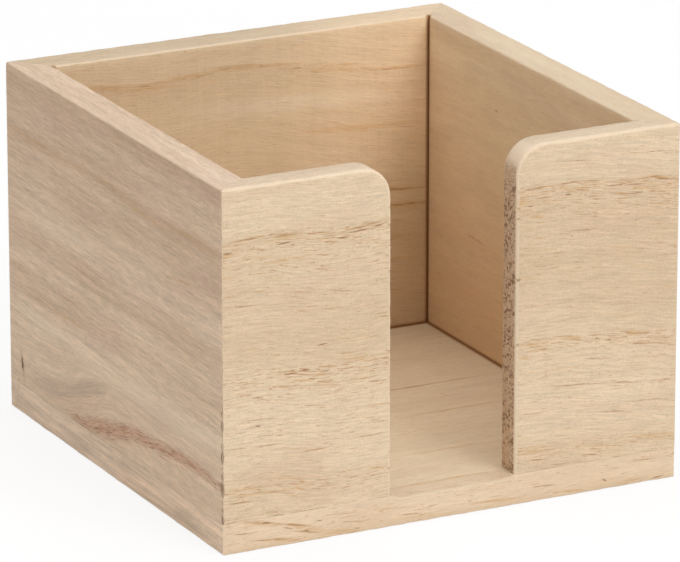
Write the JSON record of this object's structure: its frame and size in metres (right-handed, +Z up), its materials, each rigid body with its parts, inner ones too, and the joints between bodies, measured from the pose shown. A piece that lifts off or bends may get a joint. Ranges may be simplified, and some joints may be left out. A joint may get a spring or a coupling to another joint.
{
  "type": "open memo box with finger notch",
  "caption": "Open-topped square box of raw light wood for loose memo sheets, with mitred walls and a full-height finger notch in the front.",
  "frame": {"origin": "middle of the underside, on the surface that the box stands on", "axes": "+Z up; +Y from the notched front to the back wall; +X to the right as seen from the front"},
  "size_m": [0.11, 0.11, 0.081],
  "materials": {
    "base_wood": "raw sanded light hardwood, grain running left to right",
    "side_wood": "raw sanded light hardwood, grain running front to back",
    "back_wood": "raw sanded light hardwood, grain running left to right",
    "front_wood": "raw sanded light hardwood with fine brown pores, grain running left to right"
  },
  "bodies": {
    "root": {"base_front_stave": "base_wood", "base_rear_stave": "base_wood", "left_wall": "side_wood", "right_wall": "side_wood", "back_wall": "back_wood", "front_left_upright": "front_wood", "front_right_upright": "front_wood"}
  },
  "joints": []
}
